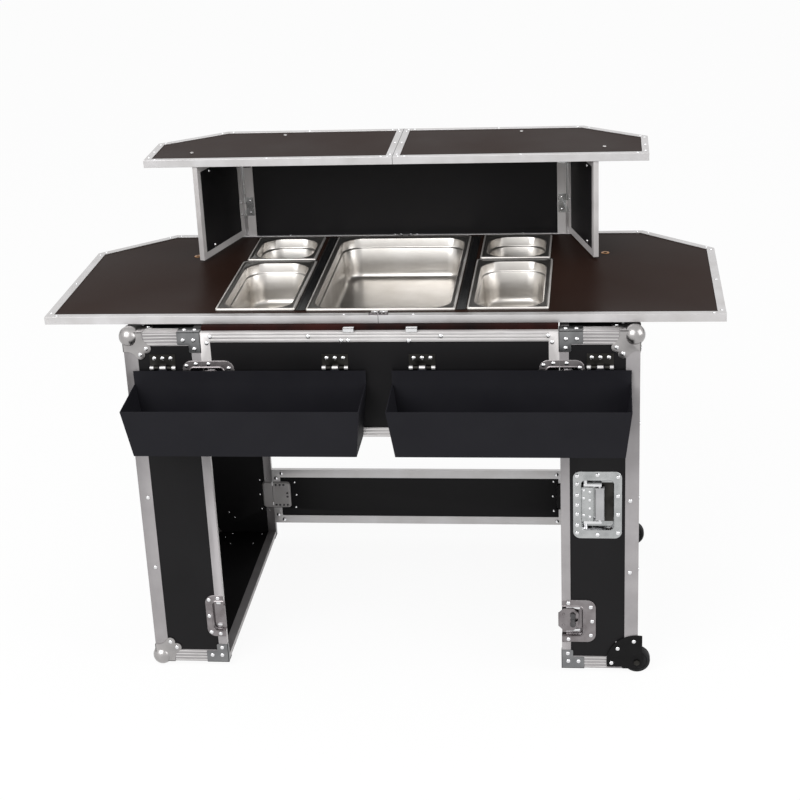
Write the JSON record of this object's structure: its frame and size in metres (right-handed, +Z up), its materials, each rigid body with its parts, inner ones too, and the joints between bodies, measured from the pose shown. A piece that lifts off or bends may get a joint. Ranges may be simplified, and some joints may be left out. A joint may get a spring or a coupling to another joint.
{
  "type": "folding portable bar",
  "caption": "Folding portable bar with flight-case legs, latched apron and stretcher, a counter with lift-out pans, hinged bottle bins, a folding riser and an upper shelf.",
  "frame": {"origin": "middle of the whole part's plan, on the floor", "axes": "+X to the right of a viewer on the bartender's side, +Y away from the bartender, +Z up"},
  "size_m": [1.47, 0.817, 1.101],
  "materials": {
    "laminate": "black laminate on plywood, satin",
    "aluminium": "mill extrusion, satin",
    "zinc": "bright zinc plate",
    "stainless": "satin stainless",
    "black_paint": "black powder coat",
    "rubber": "black, matt"
  },
  "bodies": {
    "bar": {"left_leg_tray": "laminate", "right_leg_tray": "laminate", "apron_panel": "laminate", "stretcher_panel": "laminate", "left_counter_board": "laminate", "right_counter_board": "laminate", "riser_back_panel": "laminate", "left_shelf_board": "laminate", "right_shelf_board": "laminate", "left_leg_edging": "aluminium", "right_leg_edging": "aluminium", "apron_frame": "aluminium", "stretcher_frame": "aluminium", "left_counter_edging": "aluminium", "right_counter_edging": "aluminium", "riser_back_edging": "aluminium", "left_shelf_edging": "aluminium", "right_shelf_edging": "aluminium", "apron_left_latch_dish": "zinc", "apron_right_latch_dish": "zinc", "case_front_latch_dish": "zinc", "stretcher_left_latch_dish": "zinc", "stretcher_right_latch_dish": "zinc", "handle_dish": "zinc", "left_front_ball_foot": "zinc", "left_rear_ball_foot": "zinc", "counter_seam_hinge": "zinc", "left_riser_hinge": "zinc", "right_riser_hinge": "zinc", "left_bin_outer_hinge": "zinc", "left_bin_inner_hinge": "zinc", "right_bin_outer_hinge": "zinc", "right_bin_inner_hinge": "zinc", "front_wheel_bracket": "black_paint", "rear_wheel_bracket": "black_paint"},
    "front_wheel": {"front_wheel": "rubber"},
    "rear_wheel": {"rear_wheel": "rubber"},
    "handle_bail": {"handle_bail": "zinc", "handle_grip": "rubber"},
    "left_bin": {"left_bottle_bin": "black_paint"},
    "right_bin": {"right_bottle_bin": "black_paint"},
    "left_wing": {"left_riser_panel": "laminate", "left_riser_edging": "aluminium"},
    "right_wing": {"right_riser_panel": "laminate", "right_riser_edging": "aluminium"},
    "ice_pan": {"ice_pan": "stainless"},
    "left_front_pan": {"left_front_pan": "stainless"},
    "right_front_pan": {"right_front_pan": "stainless"},
    "left_rear_pan": {"left_rear_pan": "stainless"},
    "right_rear_pan": {"right_rear_pan": "stainless"},
    "apron_left_latch_key": {"apron_left_latch_key": "zinc"},
    "apron_left_latch_hook": {"apron_left_latch_hook": "zinc"},
    "apron_right_latch_key": {"apron_right_latch_key": "zinc"},
    "apron_right_latch_hook": {"apron_right_latch_hook": "zinc"},
    "case_front_latch_key": {"case_front_latch_key": "zinc"},
    "case_front_latch_hook": {"case_front_latch_hook": "zinc"},
    "stretcher_left_latch_key": {"stretcher_left_latch_key": "zinc"},
    "stretcher_left_latch_hook": {"stretcher_left_latch_hook": "zinc"},
    "stretcher_right_latch_key": {"stretcher_right_latch_key": "zinc"},
    "stretcher_right_latch_hook": {"stretcher_right_latch_hook": "zinc"}
  },
  "joints": [
    {"name": "front_wheel_spin", "type": "hinge", "parent": "bar", "child": "front_wheel", "pos_m": [0.554, -0.2525, 0.03], "axis": [0, 1, 0], "continuous": true},
    {"name": "rear_wheel_spin", "type": "hinge", "parent": "bar", "child": "rear_wheel", "pos_m": [0.554, 0.3795, 0.03], "axis": [0, 1, 0], "continuous": true},
    {"name": "handle_swing", "type": "hinge", "parent": "bar", "child": "handle_bail", "pos_m": [0.44, -0.2565, 0.421], "axis": [0, 0, -1], "range_deg": [0, 90], "stiffness_Nm_per_rad": 0.15, "springref_deg": -17.19},
    {"name": "left_bin_swing", "type": "hinge", "parent": "bar", "child": "left_bin", "pos_m": [-0.283, -0.27, 0.746], "axis": [-1, 0, 0], "range_deg": [0, 80]},
    {"name": "right_bin_swing", "type": "hinge", "parent": "bar", "child": "right_bin", "pos_m": [0.283, -0.27, 0.746], "axis": [-1, 0, 0], "range_deg": [0, 80]},
    {"name": "left_wing_fold", "type": "hinge", "parent": "bar", "child": "left_wing", "pos_m": [-0.392, 0.3475, 0.97], "axis": [0, 0, 1], "range_deg": [0, 106.5]},
    {"name": "right_wing_fold", "type": "hinge", "parent": "bar", "child": "right_wing", "pos_m": [0.392, 0.3475, 0.97], "axis": [0, 0, -1], "range_deg": [0, 106.5]},
    {"name": "ice_pan_lift", "type": "slide", "parent": "bar", "child": "ice_pan", "axis": [0, 0, 1], "range_m": [0, 0.12]},
    {"name": "left_front_pan_lift", "type": "slide", "parent": "bar", "child": "left_front_pan", "axis": [0, 0, 1], "range_m": [0, 0.12]},
    {"name": "right_front_pan_lift", "type": "slide", "parent": "bar", "child": "right_front_pan", "axis": [0, 0, 1], "range_m": [0, 0.12]},
    {"name": "left_rear_pan_lift", "type": "slide", "parent": "bar", "child": "left_rear_pan", "axis": [0, 0, 1], "range_m": [0, 0.12]},
    {"name": "right_rear_pan_lift", "type": "slide", "parent": "bar", "child": "right_rear_pan", "axis": [0, 0, 1], "range_m": [0, 0.12]},
    {"name": "apron_left_latch_turn", "type": "hinge", "parent": "bar", "child": "apron_left_latch_key", "pos_m": [-0.361, -0.2615, 0.708], "axis": [0, 1, 0], "range_deg": [0, 180]},
    {"name": "apron_left_latch_throw", "type": "slide", "parent": "bar", "child": "apron_left_latch_hook", "axis": [-1, 0, 0], "range_m": [0, 0.006]},
    {"name": "apron_right_latch_turn", "type": "hinge", "parent": "bar", "child": "apron_right_latch_key", "pos_m": [0.411, -0.2615, 0.708], "axis": [0, 1, 0], "range_deg": [0, 180]},
    {"name": "apron_right_latch_throw", "type": "slide", "parent": "bar", "child": "apron_right_latch_hook", "axis": [-1, 0, 0], "range_m": [0, 0.006]},
    {"name": "case_front_latch_turn", "type": "hinge", "parent": "bar", "child": "case_front_latch_key", "pos_m": [0.411, -0.2615, 0.132], "axis": [0, 1, 0], "range_deg": [0, 180]},
    {"name": "case_front_latch_throw", "type": "slide", "parent": "bar", "child": "case_front_latch_hook", "axis": [-1, 0, 0], "range_m": [0, 0.006]},
    {"name": "stretcher_left_latch_turn", "type": "hinge", "parent": "bar", "child": "stretcher_left_latch_key", "pos_m": [-0.361, 0.3885, 0.132], "axis": [0, -1, 0], "range_deg": [0, 180]},
    {"name": "stretcher_left_latch_throw", "type": "slide", "parent": "bar", "child": "stretcher_left_latch_hook", "axis": [-1, 0, 0], "range_m": [0, 0.006]},
    {"name": "stretcher_right_latch_turn", "type": "hinge", "parent": "bar", "child": "stretcher_right_latch_key", "pos_m": [0.411, 0.3885, 0.132], "axis": [0, -1, 0], "range_deg": [0, 180]},
    {"name": "stretcher_right_latch_throw", "type": "slide", "parent": "bar", "child": "stretcher_right_latch_hook", "axis": [-1, 0, 0], "range_m": [0, 0.006]}
  ],
  "couplings": [
    {"joint": "apron_left_latch_turn", "follows": "apron_left_latch_throw", "rad_per_m": 523.6},
    {"joint": "apron_right_latch_turn", "follows": "apron_right_latch_throw", "rad_per_m": 523.6},
    {"joint": "case_front_latch_turn", "follows": "case_front_latch_throw", "rad_per_m": 523.6},
    {"joint": "stretcher_left_latch_turn", "follows": "stretcher_left_latch_throw", "rad_per_m": 523.6},
    {"joint": "stretcher_right_latch_turn", "follows": "stretcher_right_latch_throw", "rad_per_m": 523.6}
  ]
}
